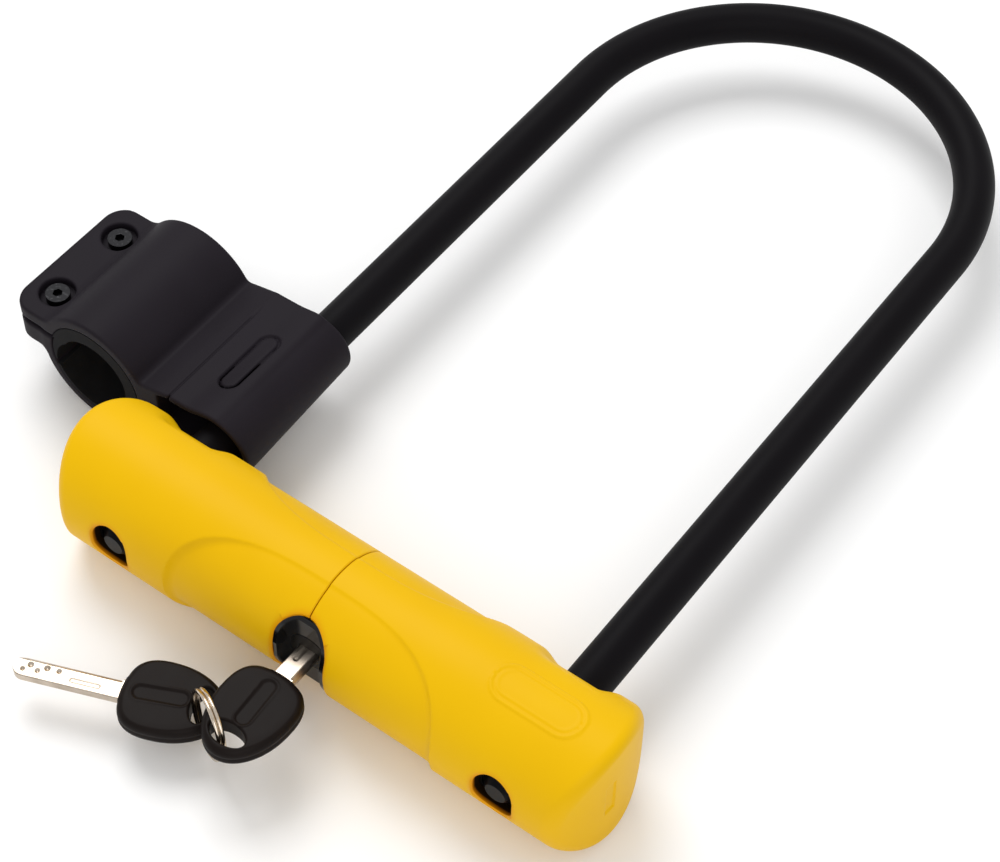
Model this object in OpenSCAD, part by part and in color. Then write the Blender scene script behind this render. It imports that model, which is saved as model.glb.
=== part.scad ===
// U lock: a rigid shackle whose two feet are bolted inside a tubular crossbar,
// with a frame bracket carried on one leg and two keys on a split ring.
// X runs along the crossbar, Y points from the crossbar to the bend, Z is up.
// The origin lies on the crossbar's axis, midway between the two legs.

/* [Shackle] */
// Distance between the centre lines of the two legs
leg_spacing = 122; // [100:1:150]
// Crossbar axis to the centre of the round bend
leg_length = 195; // [150:1:260]
// Diameter of the hardened steel rod
rod_d = 10; // [8:0.5:12]
// Thickness of the vinyl coat on the rod
coat_t = 1; // [0.6:0.1:1.4]
// How far the feet reach past the crossbar's axis
foot_reach = 18.2; // [17:0.1:18.6]
// Chamfer on the end of each foot
foot_chamfer = 2; // [1:0.5:3]

/* [Crossbar] */
// Radius of the moulded covers at their full ends
bar_r = 20; // [20:0.5:25]
// Radius of the covers at the middle of the grip
grip_r = 19.1; // [19:0.1:19.8]
// Distance from a leg's centre line to the crossbar's end
bar_overhang = 23.4; // [23:0.2:32]
// Radius of the rounded edge at each end
end_edge_r = 3; // [2:0.5:4]
// Radius of the end faces, which curve from front to back
end_face_r = 35; // [30:1:60]
// Depth of the bowl round each leg's hole
bowl_depth = 1.8; // [1:0.1:2.4]
// Radius of each bowl along the crossbar
bowl_r = 36; // [30:1:60]
// Outer radius of the steel lock tube
tube_r = 16.7; // [16.7:0.1:21]
// Wall of the steel lock tube
tube_wall = 2.4; // [1.6:0.1:2.6]
// Half length of the grip recess at the front
front_recess_half = 42; // [34:1:44]
// Half length of the grip recess at the back
back_recess_half = 40; // [30:1:44]
// Radius of the recess floors about the crossbar's axis
recess_floor_r = 18.75; // [18.6:0.05:19]
// Width of the oval mouth round each foot's tip
foot_mouth_w = 11.6; // [11:0.2:15]
// Height of the oval mouth round each foot's tip
foot_mouth_h = 14.6; // [14:0.2:20]

/* [Lock cylinder] */
// Radius of the turning plug
plug_r = 6; // [5.5:0.1:6.5]
// Radius of the cylinder's housing
housing_r = 8.4; // [8:0.1:9]
// Width of the oval key mouth in the covers
key_mouth_w = 16; // [15:0.5:19]
// Height of the oval key mouth in the covers
key_mouth_h = 28; // [24:0.5:30]
// Number of pin stacks
pin_count = 5; // [3:1:6]
// Distance between neighbouring pins
pin_pitch = 3; // [2.6:0.1:3.2]
// Travel of each bolt
bolt_travel = 5; // [3:0.5:5]
// Height of each bolt
bolt_h = 9; // [6:0.5:9]
// Thickness of each bolt
bolt_t = 3.2; // [2.4:0.1:3.4]

/* [Keys] */
// Width of the key blade
blade_w = 5.8; // [4.5:0.1:6.4]
// Thickness of the key blade
blade_t = 2.5; // [1.8:0.1:2.8]
// Length of the blade that stands out of the bow
blade_l = 29; // [24:0.5:29.5]
// Length of the moulded bow
bow_l = 27; // [22:0.5:32]
// Full width of the moulded bow
bow_w = 21.5; // [18:0.5:26]
// Thickness of the moulded bow
bow_t = 6; // [4.5:0.5:7]
// Outer diameter of the split ring
ring_d = 19; // [18:0.5:24]
// Wire diameter of the split ring
ring_wire = 1.2; // [0.8:0.1:1.4]

/* [Bracket] */
// Length of the bracket along the leg
bracket_l = 46; // [38:1:60]
// Gap between the crossbar's cover and the bracket
bracket_gap = 2; // [1:0.5:6]
// Distance from the leg's centre line to the frame clamp's
clamp_offset = 43; // [42:0.5:52]
// Outer radius of the clamp
clamp_r = 18.7; // [18:0.1:24]
// Wall of the clamp's two halves
clamp_wall = 3.2; // [2:0.1:3.6]
// Radius of the frame tube that the clamp takes
frame_tube_r = 11.2; // [8:0.1:12.4]
// Spacing of the two clamp screws
screw_spacing = 25.4; // [20:0.2:30]
// Clamp centre line to the screws' line
screw_offset = 21.2; // [20.8:0.2:26]
// Shank diameter of the clamp screws
screw_d = 4; // [3:0.5:4.5]

/* [Hidden] */
$fn = 96;

yellow = "#F2C200";
black = "#2A272C";
vinyl = "#1C191D";
steel = "#9A9A9C";
zinc = "#B4B1AA";
brass = "#B9994E";
rubber = "#303033";

run = 0.05;          // radial clearance of a running fit
seat = 0.1;          // clearance between pieces that are fixed together
eps = 0.01;

leg_x = leg_spacing / 2;
rod_r = rod_d / 2;
coat_r = rod_r + coat_t;
bar_half = leg_x + bar_overhang;
cover_bore_r = tube_r + seat;
tube_in_r = tube_r - tube_wall;
tube_half = bar_half - 8.4;
seam_gap = 0.15;

// Things along Y behind the keyway
plug_front = -13.5;
plug_back = 6;
housing_front = -12.4;
plate_t = 0.9;
cam_front = plug_back + 0.2;
cam_t = 2.2;
bolt_front = cam_front + cam_t + 0.25;

// Cam: each slot's middle line is an Archimedean spiral
turn = 90;
pin_r = 1.5;
slot_half = pin_r + 0.12;
spiral_start = 3.9;
cam_r = spiral_start + bolt_travel + slot_half + 0.5;
bolt_tip = leg_x - rod_r - 0.6;
notch_depth = bolt_travel - 0.6 + 0.3;

key_bow_face = plug_back - 0.5 - blade_l;
bow_hole_y = -21.3;
bow_hole_w = 10.5;
bow_hole_h = 6;

bracket_front = bar_r + bracket_gap;
bracket_back = bracket_front + bracket_l;
bracket_mid = bracket_front + bracket_l / 2;
clamp_x = -leg_x - clamp_offset;
clamp_z = -1.5;
clamp_in_r = clamp_r - clamp_wall;
sleeve_front_r = 11.4;
sleeve_back_r = 9.8;
bush_r = coat_r + 2;
bush_l = 24;
flange_top = 8.5;
flange_t = 4.3;
flange_gap = 1.1;
jaw_flange_t = 7;
flange_out = screw_offset + 8.6;
flange_corner = 7;
head_r = 3.4;
counterbore_r = 5.1;
hinge_dx = 16.6;
hinge_dz = -8.5;
hinge_pin_r = 1.5;
knuckle_r = 3.4;

/* ---- shared shapes ---- */

// Turns a shape made along Z so that it lies along +Y
module along_y() rotate([-90, 0, 0]) children();
// Turns a shape made along Z so that it lies along +X
module along_x() rotate([0, 90, 0]) children();

// Upright stadium of width w and height h, drilled along Y from y0 to y1
module oval_y(w, h, y0, y1) {
    for (s = [-1, 1])
        translate([0, y0, s * (h - w) / 2]) along_y() cylinder(d = w, h = y1 - y0);
    translate([-w / 2, y0, -(h - w) / 2]) cube([w, y1 - y0, h - w]);
}

// Rounded rectangle with corner radius c, as exact arcs
module rounded_rect(w, h, c) {
    union() {
        square([w - 2 * c, h], center = true);
        square([w, h - 2 * c], center = true);
        for (sx = [-1, 1], sy = [-1, 1])
            translate([sx * (w / 2 - c), sy * (h / 2 - c)]) circle(r = c);
    }
}

// Smooth 0 to 1 step between a and b
function ease(x, a, b) = let (t = min(1, max(0, (x - a) / (b - a)))) t * t * (3 - 2 * t);

// Cover radius at distance x from the middle
function cover_radius(x) = grip_r + (bar_r - grip_r) * ease(x, 14, 44);

/* ---- crossbar ---- */

// Everything inside one end face, which bows out about an upright axis,
// with its front and back corners rounded
module end_bound() {
    reach = end_face_r - end_edge_r;
    corner_y = bar_r - end_edge_r;
    corner_x = sqrt(reach * reach - corner_y * corner_y);
    height = 2 * bar_r + 2;
    translate([bar_half - end_face_r, 0, -bar_r - 1]) {
        for (s = [-1, 1])
            translate([corner_x, s * corner_y, 0]) cylinder(r = end_edge_r, h = height);
        translate([end_face_r - bar_half, -bar_r, 0])
            cube([bar_half - end_face_r + corner_x, 2 * bar_r, height]);
        intersection() {
            cylinder(r = end_face_r, h = height);
            linear_extrude(height = height)
                polygon([[0, 0], 2 * [corner_x, -corner_y], 2 * [corner_x, corner_y]]);
        }
    }
}

// Cover revolved about the crossbar, with a rounded edge at its end
module cover_body() {
    profile = concat(
        [[0, seam_gap], [grip_r, seam_gap]],
        [for (x = [14 : 3 : 44]) [cover_radius(x), x]],
        [for (a = [0 : 10 : 90])
            [bar_r - end_edge_r + end_edge_r * cos(a), bar_half - end_edge_r + end_edge_r * sin(a)]],
        [[0, bar_half]]);
    difference() {
        intersection() {
            along_x() rotate_extrude() polygon(profile);
            end_bound();
        }
        along_x() translate([0, 0, -1]) cylinder(r = cover_bore_r, h = tube_half + 1 + seat);
    }
}

// Grip recess on the side of y_sign: everything outside the floor within a rounded outline
module grip_recess(half, top_z, corner, y_sign) {
    difference() {
        translate([0, y_sign > 0 ? 3 : -bar_r - 3, 0])
            along_y() linear_extrude(height = bar_r) rounded_rect(2 * half, 2 * top_z, corner);
        along_x() translate([0, 0, -bar_half]) cylinder(r = recess_floor_r, h = 2 * bar_half);
    }
}

// Right-hand cover, built once and mirrored for the left
module cover_half() {
    bowl_floor_r = bar_r + 2;
    difference() {
        cover_body();
        grip_recess(front_recess_half, 18.35, 16, -1);
        grip_recess(back_recess_half, 17.3, 12, 1);
        translate([leg_x, 0, 0]) {
            along_y() cylinder(r = coat_r + 0.35, h = bar_r + 1);
            oval_y(foot_mouth_w, foot_mouth_h, -bar_r - 1, 0);
        }
        translate([leg_x, bar_r - bowl_depth - bowl_floor_r, 0]) along_x()
            rotate_extrude() translate([bowl_floor_r + bowl_r, 0]) circle(r = bowl_r);
        oval_y(key_mouth_w, key_mouth_h, -bar_r - 1, 0);
    }
}

module badge() {
    length = 27;
    height = 12;
    rim = 0.9;
    proud = 0.35;
    intersection() {
        translate([leg_x, 0, 0]) linear_extrude(height = bar_r + 2) difference() {
            rounded_rect(length, height, height / 2 - eps);
            rounded_rect(length - 2 * rim, height - 2 * rim, height / 2 - rim - eps);
        }
        along_x() difference() {
            cylinder(r = bar_r + proud, h = bar_half);
            translate([0, 0, -1]) cylinder(r = bar_r - 0.4, h = bar_half + 2);
        }
    }
}

module cover_right() {
    color(yellow) union() {
        cover_half();
        badge();
    }
}

module cover_left() {
    color(yellow) mirror([1, 0, 0]) cover_half();
}

module lock_tube() {
    color(steel) difference() {
        along_x() difference() {
            translate([0, 0, -tube_half]) cylinder(r = tube_r, h = 2 * tube_half);
            translate([0, 0, -tube_half - 1]) cylinder(r = tube_in_r, h = 2 * tube_half + 2);
        }
        for (s = [-1, 1])
            translate([s * leg_x, -bar_r, 0]) along_y() cylinder(r = rod_r + run, h = 2 * bar_r);
        oval_y(key_mouth_w, key_mouth_h, -bar_r, 0);
    }
}

module tube_end_plugs() {
    length = 4;
    color(steel) for (s = [-1, 1])
        translate([s * (tube_half - length / 2), 0, 0]) along_x()
            cylinder(r = tube_in_r - seat, h = length, center = true);
}

module bolt_guide(side) {
    inner_end = leg_x - 14;
    length = 25;
    color(zinc) difference() {
        translate([side > 0 ? inner_end : -inner_end - length, 0, 0]) along_x()
            cylinder(r = tube_in_r - seat, h = length);
        translate([side * leg_x, -bar_r, 0]) along_y() cylinder(r = rod_r + run, h = 2 * bar_r);
        translate([side > 0 ? 0 : -leg_x, bolt_front - run, -bolt_h / 2 - run])
            cube([leg_x, bolt_t + 2 * run, bolt_h + 2 * run]);
    }
}

module bolt_guide_left() { bolt_guide(-1); }
module bolt_guide_right() { bolt_guide(1); }

module key_escutcheon() {
    lip = 1.1;
    front = -17.9;
    color(vinyl) difference() {
        intersection() {
            oval_y(key_mouth_w - 2 * seat, key_mouth_h - 2 * seat, front, housing_front - seat);
            along_x() translate([0, 0, -20]) cylinder(r = recess_floor_r - 0.6, h = 40);
        }
        oval_y(key_mouth_w - 2 * seat - 2 * lip, key_mouth_h - 2 * seat - 2 * lip,
            front - 2, housing_front - seat - plate_t);
        translate([0, -bar_r, 0]) along_y() cylinder(r = plug_r + run, h = bar_r);
    }
}

/* ---- lock cylinder ---- */

pin_first_y = -10.2;
blade_top = blade_t / 2;
module at_pins() for (i = [0 : pin_count - 1]) translate([0, pin_first_y + i * pin_pitch, 0]) children();
stack_r = 1.1;
bible_top = 12.4;
driver_l = 2.6;

module cylinder_housing() {
    color(zinc) difference() {
        union() {
            translate([0, housing_front, 0]) along_y()
                cylinder(r = housing_r, h = plug_back - housing_front);
            translate([-2.6, housing_front + 1, 0])
                cube([5.2, pin_first_y + (pin_count - 1) * pin_pitch + 2 - housing_front - 1, bible_top]);
        }
        translate([0, -bar_r, 0]) along_y() cylinder(r = plug_r + run, h = 2 * bar_r);
        at_pins() cylinder(r = stack_r + run, h = bible_top - 0.8);
    }
}

module plug() {
    tail_l = cam_t + 0.2;
    color(brass) difference() {
        union() {
            translate([0, plug_front, 0]) along_y() cylinder(r = plug_r, h = plug_back - plug_front);
            translate([0, plug_back - eps, 0]) along_y() cylinder(r = 1.9, h = tail_l + eps);
        }
        translate([-blade_w / 2 - 0.15, plug_front - 1, -blade_t / 2 - 0.12])
            cube([blade_w + 0.3, plug_back - plug_front + 0.6, blade_t + 0.24]);
        at_pins() cylinder(r = stack_r + run, h = plug_r + 1);
        translate([0, plug_back - 1.6, 0]) along_y() difference() {
            cylinder(r = plug_r + 1, h = 0.8);
            translate([0, 0, -1]) cylinder(r = plug_r - 0.8, h = 3);
        }
    }
}

// Spring clip in the plug's groove
module plug_clip() {
    color(steel) translate([0, plug_back - 1.55, 0]) along_y() difference() {
        cylinder(r = plug_r - 0.1, h = 0.7);
        translate([0, 0, -1]) cylinder(r = plug_r - 0.75, h = 3);
        translate([-2, 0, -1]) cube([4, plug_r + 1, 3]);
    }
}

module key_pins() {
    foot = blade_top + 0.2;
    color(brass) at_pins() translate([0, 0, foot]) {
        cylinder(r1 = 0.4, r2 = stack_r, h = 0.7);
        translate([0, 0, 0.7 - eps]) cylinder(r = stack_r, h = plug_r - 0.25 - foot - 0.7 + eps);
    }
}

module driver_pins() {
    color(steel) at_pins() translate([0, 0, plug_r + 0.1]) cylinder(r = stack_r, h = driver_l);
}

// Points of a coil's wire: each ring of the sweep stands square to the helix
spring_turns = 4;
spring_steps = 14;
spring_wire = 0.16;
spring_coil = 0.8;
spring_pitch = 0.5;
module coil_spring() {
    sides = 6;
    last = spring_turns * spring_steps;
    polyhedron(
        points = [for (i = [0 : last], k = [0 : sides - 1])
            let (a = 360 * i / spring_steps, b = 360 * k / sides,
                r = spring_coil + spring_wire * cos(b))
            [r * cos(a), r * sin(a), spring_pitch * i / spring_steps + spring_wire * sin(b)]],
        faces = concat(
            [[for (k = [0 : sides - 1]) k]],
            [[for (k = [sides - 1 : -1 : 0]) last * sides + k]],
            [for (i = [0 : last - 1], k = [0 : sides - 1]) let (m = (k + 1) % sides)
                [i * sides + k, (i + 1) * sides + k, (i + 1) * sides + m]],
            [for (i = [0 : last - 1], k = [0 : sides - 1]) let (m = (k + 1) % sides)
                [i * sides + k, (i + 1) * sides + m, i * sides + m]]));
}

module pin_springs() {
    color(steel) at_pins() translate([0, 0, plug_r + 0.15 + driver_l + spring_wire]) coil_spring();
}

// Points of one cam slot: the spiral's two offset sides with round ends
function spiral_at(a) = spiral_start + bolt_travel * a / turn;
spiral_rate = bolt_travel / (turn * PI / 180);
function spiral_point(a, off) = let (r = spiral_at(a), n = norm([r, spiral_rate]))
    (r + off * r / n) * [cos(a), sin(a)] - off * spiral_rate / n * [-sin(a), cos(a)];
module cam_slot() {
    step = 5;
    polygon(concat(
        [for (a = [0 : step : turn]) spiral_point(a, slot_half)],
        [for (a = [turn : -step : 0]) spiral_point(a, -slot_half)]));
    for (a = [0, turn]) translate(spiral_point(a, 0)) circle(r = slot_half);
}

// The slots are cut in the disc's own plane: first axis X, second axis Z
module cam_disc() {
    color(steel) translate([0, cam_front + cam_t, 0]) rotate([90, 0, 0]) linear_extrude(height = cam_t)
        difference() {
            circle(r = cam_r);
            circle(r = 1.95);
            for (s = [0, 180]) rotate(s) cam_slot();
        }
}

// A bolt: a flat bar with a round follower pin that drops into the cam's slot
module bolt(side) {
    inner_end = spiral_start - 2.2;
    mirror([side > 0 ? 0 : 1, 0, 0]) {
        translate([inner_end, bolt_front, -bolt_h / 2]) cube([bolt_tip - inner_end, bolt_t, bolt_h]);
        translate([spiral_start, cam_front + 0.15, 0]) along_y()
            cylinder(r = pin_r, h = bolt_front - cam_front + 0.3);
    }
}

module bolt_left() { color(steel) bolt(-1); }
module bolt_right() { color(steel) bolt(1); }

/* ---- shackle ---- */

// Straight legs and the half-round bend, as a rod of radius r that starts at y = start
module shackle_path(r, start) {
    for (s = [-1, 1])
        translate([s * leg_x, start, 0]) along_y() cylinder(r = r, h = leg_length - start);
    translate([0, leg_length, 0]) rotate_extrude(angle = 180) translate([leg_x, 0]) circle(r = r);
}

module shackle_rod() {
    color(steel) difference() {
        union() {
            shackle_path(rod_r, -foot_reach + foot_chamfer);
            for (s = [-1, 1])
                translate([s * leg_x, -foot_reach, 0]) along_y()
                    cylinder(r1 = rod_r - foot_chamfer, r2 = rod_r, h = foot_chamfer + eps);
        }
        for (s = [-1, 1])
            translate([s > 0 ? leg_x - rod_r - 1 : -leg_x + rod_r - notch_depth, bolt_front - 0.3, -rod_r - 1])
                cube([notch_depth + 1, bolt_t + 0.6, rod_d + 2]);
    }
}

coat_start = tube_r + 0.4;
module shackle_coat() {
    color(vinyl) difference() {
        shackle_path(coat_r, coat_start);
        shackle_path(rod_r + 0.02, coat_start - 1);
    }
}

/* ---- keys ---- */

// Outline of the bow, from the blade's end at y = 0 down to y = -bow_l: an egg shape
function bow_half_width(t) = bow_w / 2 * sqrt(max(0, 1 - pow(abs(2 * pow(t, 0.72) - 1), 2.3)));
module bow_outline() {
    steps = 20;
    neck = 3.6;
    polygon(concat(
        [for (k = [0 : steps]) let (t = k / steps)
            [max(t < 0.5 ? neck : 0, bow_half_width(t)), -bow_l * t]],
        [for (k = [steps : -1 : 0]) let (t = k / steps)
            [-max(t < 0.5 ? neck : 0, bow_half_width(t)), -bow_l * t]]));
}

// A key's blade with the bow's face at y = 0 and its tip at +Y
module blade() {
    tang = 9;
    difference() {
        union() {
            translate([-blade_w / 2, -tang, -blade_t / 2])
                cube([blade_w, blade_l + tang - blade_w / 2, blade_t]);
            translate([0, blade_l - blade_w / 2, -blade_t / 2]) cylinder(d = blade_w, h = blade_t);
        }
        for (y = [blade_l - 5, blade_l - 8, blade_l - 11, blade_l - 14])
            translate([0.9, y, blade_t / 2 + 0.35]) sphere(r = 0.9, $fn = 32);
    }
}

module bow() {
    edge = 1.2;
    difference() {
        union() {
            translate([0, 0, -bow_t / 2 + edge]) linear_extrude(height = bow_t - 2 * edge) bow_outline();
            translate([0, 0, -bow_t / 2]) linear_extrude(height = bow_t) translate([0, -edge * 0.9])
                scale([1 - 2 * edge / bow_w, 1 - 2 * edge / bow_l]) bow_outline();
        }
        translate([0, bow_hole_y, -bow_t]) linear_extrude(height = 2 * bow_t)
            rounded_rect(bow_hole_w, bow_hole_h, bow_hole_h / 2 - eps);
        translate([-blade_w / 2 - 0.02, -9.05, -blade_t / 2 - 0.02])
            cube([blade_w + 0.04, 20, blade_t + 0.04]);
        for (s = [-1, 1]) translate([0, -10.3, s * (bow_t / 2)]) linear_extrude(height = 0.8, center = true)
            difference() {
                rounded_rect(4.4, 14, 2.2 - eps);
                rounded_rect(3.2, 12.8, 1.6 - eps);
            }
    }
}

module at_key() translate([0, key_bow_face, 0]) children();

// The spare key lies lower, its bow beside and below the first
spare_turn = 111.2;
spare_pos = [-34.1, -46.3, -9];
module at_spare() translate(spare_pos) rotate([0, 0, spare_turn]) children();

module key_blade() { color(steel) at_key() blade(); }
module key_bow() { color(black) at_key() bow(); }
module spare_key_blade() { color(steel) at_spare() blade(); }
module spare_key_bow() { color(black) at_spare() bow(); }

ring_centre = [-8.4, -42.6, -4.35];
ring_heading = 62.2;
ring_tilt = -6.1;
module key_ring() {
    mid_r = (ring_d - ring_wire) / 2;
    color(steel) translate(ring_centre) rotate([0, 0, ring_heading]) rotate([0, 90 - ring_tilt, 0])
        for (s = [-1, 1]) translate([0, 0, s * ring_wire * 0.48])
            rotate_extrude() translate([mid_r, 0]) circle(d = ring_wire, $fn = 32);
}

/* ---- bracket ---- */

// Everything on or above the parting line of the clamp
flange_bottom = flange_top - flange_t;
module bracket_span(extra = 0) translate([0, bracket_front - extra, 0]) along_y()
    linear_extrude(height = bracket_l + 2 * extra) mirror([0, 1, 0]) children();

module at_clamp_2d() translate([clamp_x, clamp_z]) children();

module screw_places() for (s = [-1, 1])
    translate([clamp_x - screw_offset, bracket_mid + s * screw_spacing / 2, 0]) children();

// Flat plate with rounded outer corners, from the clamp out to the flange's edge
module flange_plate(z0, t) {
    outer = clamp_x - flange_out;
    reach = flange_out - clamp_r + 6;
    translate([outer, bracket_front, z0]) linear_extrude(height = t) union() {
        translate([flange_corner, 0]) square([reach - flange_corner, bracket_l]);
        translate([0, flange_corner]) square([reach, bracket_l - 2 * flange_corner]);
        for (y = [flange_corner, bracket_l - flange_corner]) translate([flange_corner, y])
            circle(r = flange_corner);
    }
}

module bracket_shell() {
    web_left = clamp_x + 10;
    color(black) difference() {
        union() {
            bracket_span() difference() {
                union() {
                    at_clamp_2d() circle(r = clamp_r);
                    polygon([[web_left, 7.2], [clamp_x + 16.6, 7.2], [-leg_x - 15.5, 9.3], [-leg_x, 9.8],
                        [-leg_x, -7], [web_left, -7]]);
                }
                translate([clamp_x - 40, flange_bottom - 60]) square([40, 60]);
                translate([clamp_x - 1, -60 - 3]) square([clamp_r + 1.6, 60]);
            }
            translate([-leg_x, bracket_front, 0]) along_y()
                cylinder(r1 = sleeve_front_r, r2 = sleeve_back_r, h = bracket_l);
            flange_plate(flange_bottom, flange_t);
            translate([clamp_x + hinge_dx, bracket_front, clamp_z + hinge_dz]) along_y()
                cylinder(r = knuckle_r, h = bracket_l * 0.25);
            translate([clamp_x + hinge_dx, bracket_back - bracket_l * 0.25, clamp_z + hinge_dz]) along_y()
                cylinder(r = knuckle_r, h = bracket_l * 0.25);
            for (y = [bracket_front, bracket_back - bracket_l * 0.25])
                translate([clamp_x + hinge_dx, y, clamp_z + hinge_dz])
                    cube([knuckle_r, bracket_l * 0.25, 8]);
        }
        translate([clamp_x, bracket_front - 1, clamp_z]) along_y()
            cylinder(r = clamp_in_r, h = bracket_l + 2);
        translate([-leg_x, bracket_front - 1, 0]) along_y() cylinder(r = bush_r + run, h = bracket_l + 2);
        translate([-leg_x, bracket_front - 1, 0]) along_y()
            cylinder(r = sleeve_front_r - 1.6, h = bracket_l - bush_l + 1);
        translate([clamp_x + hinge_dx, bracket_front - 1, clamp_z + hinge_dz]) along_y()
            cylinder(r = hinge_pin_r, h = bracket_l + 2);
        translate([clamp_x + hinge_dx - knuckle_r - 0.4, bracket_front + bracket_l * 0.25 - 0.2, clamp_z + hinge_dz - knuckle_r - 1])
            cube([2 * knuckle_r + 1.2, bracket_l * 0.5 + 0.4, 2 * knuckle_r + 1.6]);
        screw_places() {
            translate([0, 0, flange_bottom - 1]) cylinder(d = screw_d + 0.5, h = flange_t + 2);
            translate([0, 0, flange_top - 2.6]) cylinder(r = counterbore_r, h = 10);
        }
    }
}

module leg_bush() {
    color(rubber) translate([-leg_x, bracket_back - bush_l, 0]) along_y() difference() {
        cylinder(r = bush_r, h = bush_l - 0.4);
        translate([0, 0, -1]) cylinder(r = coat_r + run, h = bush_l + 2);
    }
}

// Rubber arc in the upper half, full thickness over the top and tapered to its outer end.
// It is thinner outside where it hangs below the flange, so that the jaw can close past it.
module clamp_liner() {
    taper_shift = 2.8;
    jaw_room = 0.6;
    color(rubber) bracket_span() at_clamp_2d() difference() {
        circle(r = clamp_in_r - seat);
        circle(r = frame_tube_r);
        translate([-taper_shift, -1.14 * taper_shift]) circle(r = frame_tube_r);
        translate([-clamp_r, -2 * clamp_r - 3.5]) square([2 * clamp_r, 2 * clamp_r]);
        difference() {
            translate([-clamp_r, flange_bottom - clamp_z - 2 * clamp_r]) square([clamp_r, 2 * clamp_r]);
            circle(r = clamp_in_r - jaw_room);
        }
    }
}

module clamp_jaw() {
    jaw_top = flange_bottom - flange_gap;
    hinge_x = clamp_x + hinge_dx;
    hinge_z = clamp_z + hinge_dz;
    color(black) difference() {
        union() {
            bracket_span() difference() {
                at_clamp_2d() circle(r = clamp_r);
                translate([clamp_x - 40, jaw_top]) square([80, 60]);
                translate([clamp_x - 8, -3.6]) square([60, 60]);
            }
            flange_plate(jaw_top - jaw_flange_t, jaw_flange_t);
            translate([hinge_x, bracket_front + bracket_l * 0.25, hinge_z]) along_y()
                cylinder(r = knuckle_r, h = bracket_l * 0.5);
        }
        translate([clamp_x, bracket_front - 1, clamp_z]) along_y()
            cylinder(r = clamp_in_r, h = bracket_l + 2);
        translate([hinge_x, bracket_front - 1, hinge_z]) along_y()
            cylinder(r = hinge_pin_r + run, h = bracket_l + 2);
        for (y = [bracket_front - 1, bracket_back - bracket_l * 0.25 - 0.3])
            translate([hinge_x, y, hinge_z]) {
            along_y() cylinder(r = knuckle_r + 0.5, h = bracket_l * 0.25 + 1.3);
            translate([-0.5, 0, 0]) cube([clamp_r, bracket_l * 0.25 + 1.3, clamp_r]);
        }
        screw_places() {
            translate([0, 0, jaw_top - jaw_flange_t - 1]) cylinder(d = screw_d + 0.9, h = jaw_flange_t + 2);
            translate([0, 0, jaw_top - jaw_flange_t - 1]) cylinder(r = 4.1, h = 4.2, $fn = 6);
        }
    }
}

module jaw_liner() {
    color(rubber) bracket_span() at_clamp_2d() difference() {
        circle(r = clamp_in_r - seat);
        circle(r = clamp_in_r - 1.1);
        translate([-clamp_r, -5.5]) square([2 * clamp_r, 2 * clamp_r]);
    }
}

module jaw_hinge_pin() {
    color(steel) translate([clamp_x + hinge_dx, bracket_front + 0.3, clamp_z + hinge_dz]) along_y()
        cylinder(r = hinge_pin_r - eps, h = bracket_l - 0.6);
}

screw_end = flange_bottom - flange_gap - jaw_flange_t + 0.6;
module clamp_screws() {
    head_h = 2.2;
    head_seat = flange_top - 2.6;
    color(steel) screw_places() difference() {
        union() {
            translate([0, 0, screw_end]) cylinder(d = screw_d, h = head_seat - screw_end);
            translate([0, 0, head_seat]) cylinder(r = head_r, h = head_h);
        }
        translate([0, 0, head_seat + 0.6]) cylinder(r = 1.45, h = head_h, $fn = 6);
    }
}

module clamp_nuts() {
    nut_z = flange_bottom - flange_gap - jaw_flange_t + 0.1;
    color(steel) screw_places() translate([0, 0, nut_z]) difference() {
        cylinder(r = 3.95, h = 2.9, $fn = 6);
        translate([0, 0, -1]) cylinder(d = screw_d + 0.5, h = 5);
    }
}

cover_left();
cover_right();
lock_tube();
tube_end_plugs();
bolt_guide_left();
bolt_guide_right();
key_escutcheon();
cylinder_housing();
plug();
plug_clip();
key_pins();
driver_pins();
pin_springs();
cam_disc();
bolt_left();
bolt_right();
shackle_rod();
shackle_coat();
key_blade();
key_bow();
key_ring();
spare_key_blade();
spare_key_bow();
bracket_shell();
leg_bush();
clamp_liner();
clamp_jaw();
jaw_liner();
jaw_hinge_pin();
clamp_screws();
clamp_nuts();
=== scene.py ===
import math

import bpy
import numpy as np
from mathutils import Matrix


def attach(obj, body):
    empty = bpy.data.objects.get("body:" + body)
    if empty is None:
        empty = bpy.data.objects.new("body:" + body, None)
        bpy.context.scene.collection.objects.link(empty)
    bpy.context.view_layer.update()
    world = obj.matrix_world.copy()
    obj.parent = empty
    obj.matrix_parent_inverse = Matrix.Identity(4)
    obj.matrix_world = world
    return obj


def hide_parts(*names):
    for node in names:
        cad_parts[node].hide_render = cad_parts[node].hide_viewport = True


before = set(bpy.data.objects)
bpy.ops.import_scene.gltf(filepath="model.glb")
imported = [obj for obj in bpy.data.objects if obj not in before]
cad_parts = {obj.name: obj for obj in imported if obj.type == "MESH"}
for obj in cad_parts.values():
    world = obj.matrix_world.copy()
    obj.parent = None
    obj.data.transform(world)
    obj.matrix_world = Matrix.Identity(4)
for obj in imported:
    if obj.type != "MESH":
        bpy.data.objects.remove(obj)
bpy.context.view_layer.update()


# ---- Lock tube, end plugs and bolt guides -------------------------------------------------
# The crossbar's core is a hardened steel tube, cross-drilled for the two feet and closed by
# pressed plugs. It is dipped in black paint, which shows inside the mouths of the covers.

MM = 0.001


def linear(code):
    """An sRGB hex colour as linear RGBA: each channel goes through the standard curve."""
    c = np.array([int(code[i:i + 2], 16) for i in (1, 3, 5)]) / 255
    return (*np.where(c <= 0.04045, c / 12.92, ((c + 0.055) / 1.055) ** 2.4), 1.0)


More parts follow.
